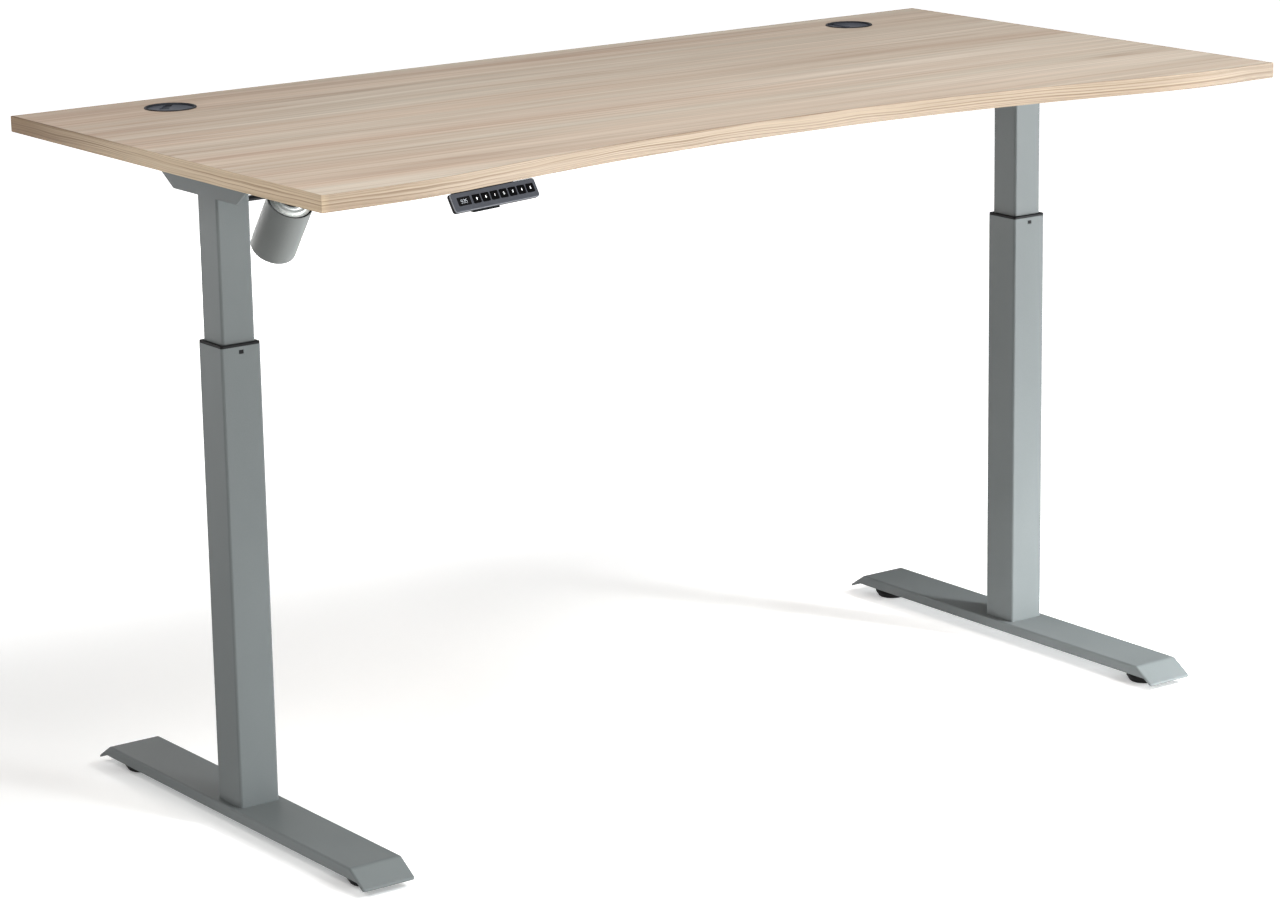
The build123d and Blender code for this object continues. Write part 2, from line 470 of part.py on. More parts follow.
# ----------------------------------------------------------------- control box under the desktop, behind the rear rail
CX0, CX1, CY0, CY1, CZ0 = -380.0, -150.0, 150.0, 250.0, UND_Z - 40.0
lid = box(CX0 - 18, CX1 + 18, CY0 + 20, CY1 - 20, UND_Z - 3, UND_Z) + box(CX0, CX1, CY0, CY1, UND_Z - 3, UND_Z)
for cx in (CX0 - 10, CX1 + 10):
    lid -= cyl_z(cx, (CY0 + CY1) / 2, UND_Z - 8, UND_Z + 2, 2.5)
    desk_screws.append(wood_screw(cx, (CY0 + CY1) / 2, UND_Z - 3))
write("control_box_plate", lid)
shell = box(CX0, CX1, CY0, CY1, CZ0, UND_Z - 3)
shell = fillet([e for e in shell.edges() if abs(e.center().Z - CZ0) < 0.01 or abs(e.length - 37.0) < 0.01], 4.0)
shell -= box(CX0 + 2.5, CX1 - 2.5, CY0 + 2.5, CY1 - 2.5, CZ0 + 2.5, UND_Z)
shell -= box(CX1 - 10, CX1 + 10, 180, 208, CZ0 + 8, CZ0 + 28)          # mains inlet opening
shell -= box(CX0 - 10, CX0 + 10, 165, 181, CZ0 + 10, CZ0 + 22)         # motor socket
shell -= box(CX0 - 10, CX0 + 10, 195, 207, CZ0 + 10, CZ0 + 22)         # handset socket
for i in range(9):
    shell -= box(CX0 + 40 + i * 18, CX0 + 44 + i * 18, CY0 + 22, CY1 - 22, CZ0 - 2, CZ0 + 5)   # air slots
write("control_box_cover", shell)
inlet = box(CX1 - 20, CX1, 180, 208, CZ0 + 8, CZ0 + 28) + box(CX1, CX1 + 1.5, 177, 211, CZ0 + 5.5, CZ0 + 30.5)
inlet -= box(CX1 - 15, CX1 + 5, 183, 205, CZ0 + 11, CZ0 + 25)
for dy, dz in ((-6, 3), (6, 3), (0, -2)):
    inlet += box(CX1 - 16, CX1 - 4, 194 + dy - 1, 194 + dy + 1, CZ0 + 18 + dz - 2, CZ0 + 18 + dz + 2)
write("mains_inlet", inlet)
board = box(CX0 + 10, CX1 - 24, CY0 + 8, CY1 - 8, UND_Z - 9, UND_Z - 7.4)
for cx in (CX0 + 30, CX1 - 50):
    for cy in (CY0 + 18, CY1 - 18):
        board += cyl_z(cx, cy, UND_Z - 7.4, UND_Z - 3, 3.0)
board += box(CX0 + 60, CX0 + 100, CY0 + 20, CY0 + 50, UND_Z - 30, UND_Z - 9)
board += cyl_z(CX0 + 130, CY0 + 35, UND_Z - 34, UND_Z - 9, 9.0)
board += box(CX0 + 10, CX0 + 22, CY0 + 14, CY0 + 32, CZ0 + 9, UND_Z - 9)
board += box(CX0 + 10, CX0 + 22, CY0 + 44, CY0 + 58, CZ0 + 9, UND_Z - 9)
write("control_board", board)

# ----------------------------------------------------------------- handset under the front edge
rot = math.radians(HAND_ROT)
e_u = Vector(math.cos(rot), math.sin(rot), 0)
e_f = Vector(math.sin(rot), -math.cos(rot), 0)
e_z = Vector(0, 0, 1)
hy = -378.04
h_org = Vector(HAND_X, hy, UND_Z)
sec = Plane(origin=h_org, x_dir=e_f, z_dir=e_u * -1)
slant = math.hypot(FACE_F, FACE_D)
n_f = e_f * (FACE_D / slant) + e_z * (FACE_F / slant)
fc = h_org + e_f * (FACE_F / 2) + e_z * (-FACE_D / 2)
facep = Plane(origin=fc, x_dir=e_u, z_dir=n_f)
HD = 6.0      # depth of the front shell behind the face


def fbox(u0, u1, v0, v1, w0, w1, r=0.0):
    sk = Pos((u0 + u1) / 2, (v0 + v1) / 2) * (rounded(u1 - u0, v1 - v0, r) if r else Rectangle(u1 - u0, v1 - v0))
    return extrude(Plane(origin=fc + n_f * w0, x_dir=e_u, z_dir=n_f) * sk, w1 - w0)


V0, V1 = -slant / 2, slant / 2
BTN_V = 0.3      # button row at about the middle of the face
pitch0 = -HAND_L / 2 + 41.55
btn_u = [pitch0 + i * BTN_PITCH for i in range(7)]
front = fbox(-HAND_L / 2, HAND_L / 2, V0, V1, -HD, 0.0, 4.0)
front = fillet([e for e in front.edges() if abs((e.center() - fc).dot(n_f)) < 0.01], 1.6)
front &= Pos(0, 0, UND_Z - 100) * Box(4000, 4000, 200)     # stays under the board
front -= fbox(-HAND_L / 2 + 2, HAND_L / 2 - 2, V0 + 2, V1 - 4.5, -HD - 1, -2.4)
for u in btn_u:
    front -= fbox(u - BTN_W / 2 - 0.3, u + BTN_W / 2 + 0.3, BTN_V - BTN_H / 2 - 0.3, BTN_V + BTN_H / 2 + 0.3, -4, 2, 1.6)
WIN_U0, WIN_U1 = -HAND_L / 2 + 8.75, -HAND_L / 2 + 31.05
front -= fbox(WIN_U0, WIN_U1, BTN_V - 5.7, BTN_V + 5.7, -4, 2, 1.2)
write("handset_front_shell", front)
win = fbox(WIN_U0, WIN_U1, BTN_V - 5.7, BTN_V + 5.7, -2.4, -0.1, 1.2)
write("handset_window", win)
names = ["up", "down", "1", "2", "3", "4", "5"]
for nm, u in zip(names, btn_u):
    b = fbox(u - BTN_W / 2, u + BTN_W / 2, BTN_V - BTN_H / 2, BTN_V + BTN_H / 2, -3.0, 0.6, 1.3)
    b = fillet([e for e in b.edges() if abs((e.center() - fc).dot(n_f) - 0.6) < 0.01], 0.4)
    b += fbox(u - BTN_W / 2 - 0.9, u + BTN_W / 2 + 0.9, BTN_V - BTN_H / 2 - 0.9, BTN_V + BTN_H / 2 + 0.9, -3.6, -2.8, 1.3)
    write(f"button_{nm}", b)
hb = fbox(-HAND_L / 2 + 3, HAND_L / 2 - 3, V0 + 3, V1 - 6.5, -HD, -HD + 1.2)
for u in btn_u:
    hb += fbox(u - 2, u + 2, BTN_V - 2, BTN_V + 2, -HD + 1.2, -HD + 1.5)
hb += fbox(WIN_U0 + 1, WIN_U1 - 1, BTN_V - 4.7, BTN_V + 4.7, -HD + 1.2, -2.5)
write("handset_board", hb)
# rear shell: flat back behind the front shell and a foot in the middle that carries it under the board
rear = fbox(-HAND_L / 2 + 8, HAND_L / 2 - 8, V0 + 1.5, V1 - 3.0, -HD - 3.5, -HD, 3.0)
carrier = make_face(Polyline((-30.0, 0.0), (-30.0, -6.0), (-16.0, -15.0), (4.0, -23.0), (22.0, -23.0), (22.0, 0.0), close=True).edges())
rear += extrude(sec * carrier, 44.0, both=True) - fbox(-120, 120, -60, 60, -HD, 100)
inner = make_face(Polyline((-14.5, -2.5), (-13.0, -13.5), (6.0, -20.6), (22.0, -20.6), (22.0, -2.5), close=True).edges())
rear -= extrude(sec * inner, 41.6, both=True)
# housing of the lead socket on the underside
sock = make_face(Polyline((-20.0, -14.0), (-8.0, -25.5), (6.0, -27.0), (11.5, -27.0), (11.5, -22.0), (-8.0, -20.0), close=True).edges())
sk = extrude(sec * sock, 23.0, both=True)
sk = Pos(e_u.X * -17.0, e_u.Y * -17.0, 0) * sk
sk -= fbox(-120, 120, -60, 60, -HD, 100)
rear += sk
for s in (-1, 1):
    c = h_org + e_f * -22.5 + e_u * (s * 34.0)
    rear -= cyl_z(c.X, c.Y, UND_Z - 20, UND_Z + 2, 2.5)
    rear -= cyl_z(c.X, c.Y, UND_Z - 20, UND_Z - 3, 5.2)
    desk_screws.append(wood_screw(c.X, c.Y, UND_Z - 3))
write("handset_rear_shell", rear)
write("desktop_screws", *desk_screws)
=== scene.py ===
import json
import math

import bmesh
import bpy
from mathutils import Matrix, Vector


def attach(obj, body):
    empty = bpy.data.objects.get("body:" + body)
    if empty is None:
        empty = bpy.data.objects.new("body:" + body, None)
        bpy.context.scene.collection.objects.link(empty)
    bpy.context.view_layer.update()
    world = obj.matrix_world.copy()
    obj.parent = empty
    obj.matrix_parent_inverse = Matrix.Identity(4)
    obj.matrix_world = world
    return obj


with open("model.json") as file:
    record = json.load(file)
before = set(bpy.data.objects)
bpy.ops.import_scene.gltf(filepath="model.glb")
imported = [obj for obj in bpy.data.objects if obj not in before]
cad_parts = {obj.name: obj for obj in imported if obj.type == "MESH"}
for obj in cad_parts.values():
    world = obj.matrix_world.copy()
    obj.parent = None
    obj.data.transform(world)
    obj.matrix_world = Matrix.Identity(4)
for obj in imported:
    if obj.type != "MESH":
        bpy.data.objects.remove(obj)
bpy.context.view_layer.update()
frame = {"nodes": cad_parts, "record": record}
nodes = frame["nodes"]
scene = bpy.context.scene

# ------------------------------------------------------------------ small helpers


def new_object(name, mesh, material, body):
    obj = bpy.data.objects.new(name, mesh)
    scene.collection.objects.link(obj)
    obj.data.materials.clear()
    obj.data.materials.append(material)
    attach(obj, body)
    return obj


class Graph:
    """A material's node tree with short calls for the nodes used below."""

    def __init__(self, name):
        self.mat = bpy.data.materials.new(name)
        self.mat.use_nodes = True
        self.nt = self.mat.node_tree
        self.nt.nodes.clear()
        self.out = self.nt.nodes.new("ShaderNodeOutputMaterial")
        self.bsdf = self.nt.nodes.new("ShaderNodeBsdfPrincipled")
        self.nt.links.new(self.bsdf.outputs[0], self.out.inputs[0])

    def add(self, kind, **props):
        n = self.nt.nodes.new(kind)
        for k, v in props.items():
            setattr(n, k, v)
        return n

    def link(self, a, b):
        self.nt.links.new(a, b)

    def feed(self, socket, value):
        if hasattr(value, "is_linked") or hasattr(value, "links"):
            self.link(value, socket)
        else:
            socket.default_value = value

    def coord(self):
        return self.add("ShaderNodeTexCoord").outputs["Object"]

    def mapping(self, vec, scale, loc=(0, 0, 0), rot=(0, 0, 0)):
        n = self.add("ShaderNodeMapping")
        self.link(vec, n.inputs["Vector"])
        n.inputs["Scale"].default_value = scale
        n.inputs["Location"].default_value = loc
        n.inputs["Rotation"].default_value = rot
        return n.outputs[0]

    def noise(self, vec, scale=1.0, detail=2.0, rough=0.5, distort=0.0):
        n = self.add("ShaderNodeTexNoise")
        self.link(vec, n.inputs["Vector"])
        n.inputs["Scale"].default_value = scale
        n.inputs["Detail"].default_value = detail
        n.inputs["Roughness"].default_value = rough
        n.inputs["Distortion"].default_value = distort
        return n.outputs["Fac"]

    def wave(self, vec, scale, distort, detail=2.0, dscale=1.0, direction="Y"):
        n = self.add("ShaderNodeTexWave", bands_direction=direction)
        self.link(vec, n.inputs["Vector"])
        n.inputs["Scale"].default_value = scale
        n.inputs["Distortion"].default_value = distort
        n.inputs["Detail"].default_value = detail
        n.inputs["Detail Scale"].default_value = dscale
        return n.outputs["Fac"]

    def voronoi(self, vec, scale):
        n = self.add("ShaderNodeTexVoronoi")
        self.link(vec, n.inputs["Vector"])
        n.inputs["Scale"].default_value = scale
        return n.outputs["Distance"]

    def ramp(self, fac, *stops):
        n = self.add("ShaderNodeValToRGB")
        self.link(fac, n.inputs[0])
        cr = n.color_ramp
        while len(cr.elements) < len(stops):
            cr.elements.new(0.5)
        for e, (pos, col) in zip(cr.elements, stops):
            e.position = pos
            e.color = (col, col, col, 1.0) if isinstance(col, (int, float)) else (*col, 1.0)
        return n.outputs[0]

    def range(self, fac, a0, a1, b0, b1):
        n = self.add("ShaderNodeMapRange")
        self.link(fac, n.inputs[0])
        for i, v in enumerate((a0, a1, b0, b1), 1):
            n.inputs[i].default_value = v
        return n.outputs[0]

    def mix(self, fac, a, b, kind="MIX"):
        n = self.add("ShaderNodeMix", data_type="RGBA", blend_type=kind)
        self.feed(n.inputs[0], fac)
        for s, v in ((n.inputs[6], a), (n.inputs[7], b)):
            self.feed(s, (*v, 1.0) if isinstance(v, tuple) and len(v) == 3 else v)
        return n.outputs[2]

    def math(self, op, a, b=0.0):
        n = self.add("ShaderNodeMath", operation=op)
        self.feed(n.inputs[0], a)
        self.feed(n.inputs[1], b)
        return n.outputs[0]

    def along(self, vec, origin, axis):
        """Distance of a point from origin, measured along axis."""
        a = self.add("ShaderNodeVectorMath", operation="SUBTRACT")
        self.link(vec, a.inputs[0])
        a.inputs[1].default_value = origin
        b = self.add("ShaderNodeVectorMath", operation="DOT_PRODUCT")
        self.link(a.outputs["Vector"], b.inputs[0])
        b.inputs[1].default_value = axis
        return b.outputs["Value"]

    def split(self, vec):
        n = self.add("ShaderNodeSeparateXYZ")
        self.link(vec, n.inputs[0])
        return n.outputs

    def join(self, x, y, z):
        n = self.add("ShaderNodeCombineXYZ")
        for s, v in zip(n.inputs, (x, y, z)):
            self.feed(s, v)
        return n.outputs[0]

    def bump(self, height, strength, distance):
        n = self.add("ShaderNodeBump")
        self.link(height, n.inputs["Height"])
        n.inputs["Strength"].default_value = strength
        n.inputs["Distance"].default_value = distance
        self.link(n.outputs[0], self.bsdf.inputs["Normal"])

    def set(self, **sockets):
        names = {"color": "Base Color", "rough": "Roughness", "metal": "Metallic", "spec": "Specular IOR Level",
                 "coat": "Coat Weight", "coat_rough": "Coat Roughness", "emit": "Emission Color",
                 "emit_power": "Emission Strength"}
        for k, v in sockets.items():
            s = self.bsdf.inputs[names[k]]
            self.feed(s, (*v, 1.0) if isinstance(v, tuple) and len(v) == 3 else v)


# ------------------------------------------------------------------ the handset face: origin, along it, up it, out of it
HAND_O = Vector((-0.53893, -0.37804 + 0.0015116, 0.913))
ROT = math.radians(11.2)
E_U = Vector((math.cos(ROT), math.sin(ROT), 0.0))
E_F = Vector((math.sin(ROT), -math.cos(ROT), 0.0))
SL = math.hypot(11.95, 22.19)
N_F = E_F * (22.19 / SL) + Vector((0, 0, 1)) * (11.95 / SL)
E_V = N_F.cross(E_U).normalized()
FC = HAND_O + E_F * 0.005975 - Vector((0, 0, 0.011095))
BTN_V = 0.0003
GROMMET = (0.6, 0.315 + 0.0015116)

# ------------------------------------------------------------------ materials


def oak_top():
    """Printed light oak: long streaks along X, slow pale and pinkish bands, thin brown veins, fine grain and pores."""
    g = Graph("oak_laminate")
    p = g.coord()
    x, y, z = g.split(p)
    warp = g.noise(g.mapping(p, (0.9, 2.2, 0.0)), 1.0, 2.0, 0.5)
    warp2 = g.noise(g.mapping(p, (3.0, 9.0, 0.0), (3.1, 1.7, 0.0)), 1.0, 1.0, 0.5)
    y2 = g.math("ADD", y, g.math("MULTIPLY", g.math("SUBTRACT", warp, 0.5), 0.040))
    y2 = g.math("ADD", y2, g.math("MULTIPLY", g.math("SUBTRACT", warp2, 0.5), 0.008))
    q = g.join(x, y2, 0.0)
    tone = g.noise(g.mapping(q, (0.30, 8.0, 0.0)), 1.0, 3.0, 0.55)
    mid = g.noise(g.mapping(q, (0.50, 27.0, 0.0), (5.0, 2.0, 0.0)), 1.0, 3.0, 0.60)
    fine = g.noise(g.mapping(q, (1.6, 120.0, 0.0), (1.0, 9.0, 0.0)), 1.0, 4.0, 0.7)
    vein = g.noise(g.mapping(q, (0.40, 13.0, 0.0), (8.3, 3.3, 0.0)), 1.0, 2.0, 0.5)
    gate = g.noise(g.mapping(q, (1.5, 11.0, 0.0), (2.2, 6.1, 0.0)), 1.0, 2.0, 0.6)
    pore = g.noise(g.mapping(q, (26.0, 620.0, 0.0), (7.0, 4.0, 0.0)), 1.0, 2.0, 0.6)
    base = g.ramp(tone, (0.34, (0.529, 0.439, 0.350)), (0.50, (0.568, 0.484, 0.393)), (0.66, (0.595, 0.524, 0.435)))
    streak = g.ramp(mid, (0.34, 1.0), (0.50, 0.30), (0.62, 0.0))
    col = g.mix(g.math("MULTIPLY", streak, 0.78), base, (0.462, 0.353, 0.272))
    light = g.ramp(mid, (0.52, 0.0), (0.68, 1.0))
    col = g.mix(g.math("MULTIPLY", light, 0.34), col, (0.632, 0.588, 0.508))
    off = g.math("ABSOLUTE", g.math("SUBTRACT", vein, 0.47))
    thread = g.math("MULTIPLY", g.ramp(off, (0.0, 1.0), (0.010, 0.45), (0.034, 0.0)), g.ramp(gate, (0.42, 0.0), (0.60, 1.0)))
    col = g.mix(g.math("MULTIPLY", thread, 0.60), col, (0.374, 0.266, 0.194))
    hue = g.noise(g.mapping(q, (0.45, 12.0, 0.0), (4.4, 7.7, 0.0)), 1.0, 2.0, 0.5)
    col = g.mix(1.0, col, g.mix(g.range(hue, 0.35, 0.65, 0.0, 1.0), (1.020, 0.985, 0.975), (0.985, 1.010, 1.020)), "MULTIPLY")
    # painted shade: the rear left of the top is darkened and warmed
    rear_left_painted_shade = g.range(g.math("SUBTRACT", y, x), 0.60, 1.15, 0.0, 1.0)
    col = g.mix(rear_left_painted_shade, col, g.mix(1.0, col, (0.96, 0.90, 0.87), "MULTIPLY"))
    line = g.range(fine, 0.30, 0.70, 0.672, 0.996)
    col = g.mix(1.0, col, g.join(line, line, line), "MULTIPLY")
    dot = g.ramp(pore, (0.62, 0.0), (0.74, 1.0))
    col = g.mix(g.math("MULTIPLY", dot, 0.16), col, (0.278, 0.195, 0.130))
    g.set(color=col, rough=g.range(fine, 0.3, 0.7, 0.64, 0.54), spec=0.22)
    g.bump(g.math("SUBTRACT", fine, g.math("MULTIPLY", dot, 0.6)), 0.10, 0.00025)
    return g.mat


def oak_edge():
    """Edge band in the same wood look, a little yellower, its grain running round the board."""
    g = Graph("oak_edge")
    p = g.coord()
    x, y, z = g.split(p)
    s = g.math("ADD", x, y)
    warp = g.noise(g.join(g.math("MULTIPLY", s, 4.0), g.math("MULTIPLY", z, 16.0), 0.0), 1.0, 2.0)
    z2 = g.math("ADD", z, g.math("MULTIPLY", g.math("SUBTRACT", warp, 0.5), 0.014))
    q = g.join(s, z2, 0.0)
    tone = g.noise(g.mapping(q, (1.2, 60.0, 0.0)), 1.0, 3.0, 0.55)
    mid = g.noise(g.mapping(q, (1.3, 460.0, 0.0), (4.0, 1.0, 0.0)), 1.0, 3.0, 0.7)
    fine = g.noise(g.mapping(q, (7.0, 900.0, 0.0), (2.0, 6.0, 0.0)), 1.0, 3.0, 0.7)
    base = g.ramp(tone, (0.32, (0.312, 0.237, 0.166)), (0.52, (0.337, 0.264, 0.192)), (0.70, (0.354, 0.283, 0.212)))
    streak = g.ramp(mid, (0.37, 1.0), (0.46, 0.38), (0.56, 0.0))
    col = g.mix(g.math("MULTIPLY", streak, 0.85), base, (0.167, 0.107, 0.063))
    line = g.range(fine, 0.30, 0.70, 0.758, 0.995)
    col = g.mix(1.0, col, g.join(line, line, line), "MULTIPLY")
    # painted light and shade on the band ends: the left end is painted lighter at the front and browner and darker
    # towards the rear corner, and the right end is painted a shade darker
    back = g.range(g.math("ADD", y, g.math("MULTIPLY", g.math("SUBTRACT", tone, 0.5), 0.25)), 0.05, 0.37, 0.0, 1.0)
    left_end_painted = g.mix(1.0, col, g.mix(back, (1.20, 1.21, 1.15), (0.52, 0.40, 0.245)), "MULTIPLY")
    col = g.mix(g.range(x, -0.788, -0.796, 0.0, 1.0), col, left_end_painted)
    # painted shade: the right end of the band darkened
    col = g.mix(g.range(x, 0.66, 0.76, 0.0, 1.0), col, g.mix(1.0, col, (0.84, 0.85, 0.86), "MULTIPLY"))
    g.set(color=col, rough=g.range(fine, 0.3, 0.7, 0.64, 0.54), spec=0.22)
    g.bump(fine, 0.08, 0.0002)
    return g.mat


def powder(name, dark, light, rough=0.54):
    """Fine-textured satin powder coat."""
    g = Graph(name)
    p = g.coord()
    slow = g.noise(g.mapping(p, (9.0, 9.0, 5.0)), 1.0, 3.0)
    grit = g.noise(p, 1900.0, 3.0, 0.6)
    peel = g.noise(p, 520.0, 2.0, 0.5)
    col = g.ramp(slow, (0.30, dark), (0.70, light))
    spark = g.range(grit, 0.35, 0.65, 0.93, 1.06)
    col = g.mix(1.0, col, g.join(spark, spark, spark), "MULTIPLY")
    g.set(color=col, rough=g.range(grit, 0.3, 0.7, rough - 0.06, rough + 0.08), spec=0.24)
    g.bump(g.math("ADD", g.math("MULTIPLY", grit, 0.6), peel), 0.12, 0.00012)
    return g.mat


def plastic(name, dark, light, rough=0.45, grain=2600.0, depth=0.10, spec=0.5):
    """Moulded plastic with a fine eroded texture."""
    g = Graph(name)
    p = g.coord()
    slow = g.noise(g.mapping(p, (14.0, 14.0, 14.0)), 1.0, 3.0)
    grit = g.noise(p, grain, 3.0, 0.6)
    col = g.ramp(slow, (0.32, dark), (0.68, light))
    tint = g.range(grit, 0.3, 0.7, 0.90, 1.10)
    col = g.mix(1.0, col, g.join(tint, tint, tint), "MULTIPLY")
    g.set(color=col, rough=g.range(grit, 0.3, 0.7, rough - 0.05, rough + 0.08), spec=spec)
    g.bump(grit, depth, 0.00008)
    return g.mat


def metal(name, dark, light, rough=0.30, streak=(60.0, 60.0, 900.0), amount=1.0):
    """Plated or machined metal with faint drawing marks and cloudy tarnish."""
    g = Graph(name)
    p = g.coord()
    cloud = g.noise(p, 55.0, 4.0, 0.6)
    draw = g.noise(g.mapping(p, streak), 1.0, 3.0, 0.6)
    col = g.ramp(cloud, (0.30, dark), (0.70, light))
    g.set(color=col, metal=amount, rough=g.range(draw, 0.3, 0.7, rough - 0.06, rough + 0.10))
    g.bump(draw, 0.06, 0.00005)
    return g.mat


def handset_front():
    """Grey moulded face with a painted highlight on its rounded lip at the ends and along the bottom edge; its side
    walls and the edge under the board are painted black as shade.
    """
    g = Graph("handset_front")
    p = g.coord()
    u, v, w = g.along(p, FC, E_U), g.along(p, FC, E_V), g.along(p, FC, N_F)
    slow = g.noise(g.mapping(p, (14.0, 14.0, 14.0)), 1.0, 3.0)
    grit = g.noise(p, 2600.0, 3.0, 0.6)
    col = g.ramp(slow, (0.32, (0.028, 0.030, 0.036)), (0.68, (0.033, 0.035, 0.042)))
    # painted highlight: the lip at the face's ends and bottom edge is painted paler
    outer = g.math("MAXIMUM", g.range(g.math("ABSOLUTE", u), 0.0716, 0.0726, 0.0, 1.0), g.range(v, -0.0104, -0.0113, 0.0, 1.0))
    lip_painted_highlight = g.math("MULTIPLY", outer, g.range(w, -0.0002, -0.0005, 0.0, 1.0))
    col = g.mix(lip_painted_highlight, col, (0.150, 0.155, 0.170))
    # painted shade: the side walls and the top edge under the board are painted black
    walls_painted_shade = g.math("MAXIMUM", g.range(w, -0.0017, -0.0022, 0.0, 1.0), g.range(v, 0.0112, 0.0119, 0.0, 1.0))
    col = g.mix(walls_painted_shade, col, (0.003, 0.003, 0.004))
    tint = g.range(grit, 0.3, 0.7, 0.90, 1.10)
    col = g.mix(1.0, col, g.join(tint, tint, tint), "MULTIPLY")
    g.set(color=col, rough=g.range(grit, 0.3, 0.7, 0.46, 0.58), spec=0.12)
    g.bump(grit, 0.10, 0.00008)
    return g.mat


def grommet_ring():
    """Dark rounded rim, with the seat of the cap inside it in the cap's own grey."""
    g = Graph("grommet_rim")
    p = g.coord()
    x, y, z = g.split(p)
    dx = g.math("SUBTRACT", g.math("ABSOLUTE", x), GROMMET[0])
    dy = g.math("SUBTRACT", y, GROMMET[1])
    r = g.math("SQRT", g.math("ADD", g.math("MULTIPLY", dx, dx), g.math("MULTIPLY", dy, dy)))
    grit = g.noise(p, 2600.0, 3.0, 0.6)
    col = g.mix(g.range(r, 0.0326, 0.0332, 0.0, 1.0), (0.046, 0.051, 0.063), (0.013, 0.013, 0.016))
    tint = g.range(grit, 0.3, 0.7, 0.88, 1.12)
    col = g.mix(1.0, col, g.join(tint, tint, tint), "MULTIPLY")
    g.set(color=col, rough=g.range(grit, 0.3, 0.7, 0.44, 0.58), spec=0.25)
    g.bump(grit, 0.10, 0.00008)
    return g.mat


def board():
    """Green solder mask with lighter tracks."""
    g = Graph("circuit_board")
    p = g.coord()
    v = g.voronoi(g.mapping(p, (1.0, 1.0, 0.4)), 260.0)
    col = g.ramp(v, (0.10, (0.05, 0.26, 0.12)), (0.22, (0.015, 0.11, 0.05)), (0.8, (0.012, 0.09, 0.04)))
    g.set(color=col, rough=g.range(v, 0.0, 0.6, 0.25, 0.40))
    g.bump(v, 0.05, 0.0001)
    return g.mat


def legend_paint():
    """White printed legend."""
    g = Graph("legend_print")
    grit = g.noise(g.coord(), 2400.0, 2.0)
    g.set(color=g.ramp(grit, (0.3, (0.74, 0.75, 0.76)), (0.7, (0.84, 0.85, 0.86))), rough=g.range(grit, 0.3, 0.7, 0.5, 0.65))
    return g.mat


def lit_segment():
    """Lit display segment, soft white."""
    g = Graph("display_segment")
    grit = g.noise(g.coord(), 1500.0, 2.0)
    col = g.ramp(grit, (0.3, (0.40, 0.42, 0.45)), (0.7, (0.46, 0.49, 0.52)))
    g.set(color=col, rough=g.range(grit, 0.3, 0.7, 0.4, 0.6), emit=col, emit_power=0.05)
    return g.mat


M = {
    "oak_laminate": oak_top(),
    "oak_edge": oak_edge(),
    "grey_powder_coat": powder("grey_powder_coat", (0.090, 0.100, 0.101), (0.097, 0.107, 0.108)),
    "black_plastic": plastic("black_plastic", (0.0035, 0.0035, 0.004), (0.006, 0.006, 0.0065), 0.58, 2600.0, 0.10, 0.10),
    "grommet_plastic": plastic("grommet_plastic", (0.060, 0.066, 0.082), (0.072, 0.079, 0.097), 0.46, 2600.0, 0.10, 0.35),
    "handset_plastic": plastic("handset_plastic", (0.036, 0.038, 0.045), (0.043, 0.045, 0.053), 0.50, 2600.0, 0.10, 0.12),
    "key_plastic": plastic("key_plastic", (0.0010, 0.0010, 0.0012), (0.0016, 0.0016, 0.0018), 0.56, 2600.0, 0.05, 0.012),
    "display_window": plastic("display_window", (0.0012, 0.0012, 0.0014), (0.0020, 0.0020, 0.0022), 0.22, 1800.0, 0.02, 0.06),
    "zinc_steel": metal("zinc_steel", (0.56, 0.57, 0.57), (0.70, 0.71, 0.70), 0.30),
    "steel": metal("steel", (0.46, 0.47, 0.48), (0.56, 0.57, 0.58), 0.32),
    "black_steel": plastic("black_steel", (0.007, 0.007, 0.008), (0.012, 0.012, 0.013), 0.44, 1800.0, 0.06, 0.18),
    "aluminium_cast": metal("aluminium_cast", (0.55, 0.56, 0.57), (0.64, 0.65, 0.66), 0.45, (300.0, 300.0, 300.0)),
    "brass_gear": metal("brass_gear", (0.58, 0.43, 0.19), (0.68, 0.52, 0.25), 0.32),
    "acetal": plastic("acetal", (0.74, 0.73, 0.68), (0.80, 0.79, 0.74), 0.40),
    "circuit_board": board(),
    "rubber_black": plastic("rubber_black", (0.006, 0.006, 0.006), (0.010, 0.010, 0.010), 0.72, 1400.0, 0.12, 0.14),
    "grommet_rim": grommet_ring(),
    "handset_front": handset_front(),
    "handset_back": plastic("handset_back", (0.005, 0.005, 0.006), (0.008, 0.008, 0.009), 0.54, 2600.0, 0.10, 0.10),
    # painted light: the motor cover is the powder-coat grey painted lighter
    "motor_coat_painted_light": powder("motor_coat_painted_light", (0.149, 0.157, 0.153), (0.162, 0.169, 0.165), 0.54),
    # painted reflection: zinc with a pale, half-metallic base standing in for the bright reflection of its
    # surroundings
    "zinc_painted_reflection": metal("zinc_painted_reflection", (0.84, 0.87, 0.85), (0.95, 0.97, 0.95), 0.30, amount=0.40),
    "legend": legend_paint(),
    "segment": lit_segment(),
}

slot_of = {s["node"]: s["material_slot"] for s in frame["record"]["subparts"]}
# pieces given their own material: the grommet rims and the rear shell are shades of their slot; the handset front
# carries painted highlight and painted shade, the motor cover is its slot's grey painted lighter, and the motor end
# cap's pale base is a painted reflection
FINISH_OR_PAINTED_LIGHT = {"left_grommet_ring": "grommet_rim", "right_grommet_ring": "grommet_rim", "handset_rear_shell": "handset_back", "handset_front_shell": "handset_front",
          "motor_cover": "motor_coat_painted_light", "motor_end_cap": "zinc_painted_reflection"}
for name, obj in nodes.items():
    mats = obj.data.materials
    m = M[FINISH_OR_PAINTED_LIGHT.get(name, slot_of[name])]
    if len(mats) == 0:
        mats.append(m)
    else:
        for i in range(len(mats)):
            mats[i] = m

# ------------------------------------------------------------------ handset legends and display


def on_face(u, v, w):
    return FC + E_U * u + E_V * v + N_F * w


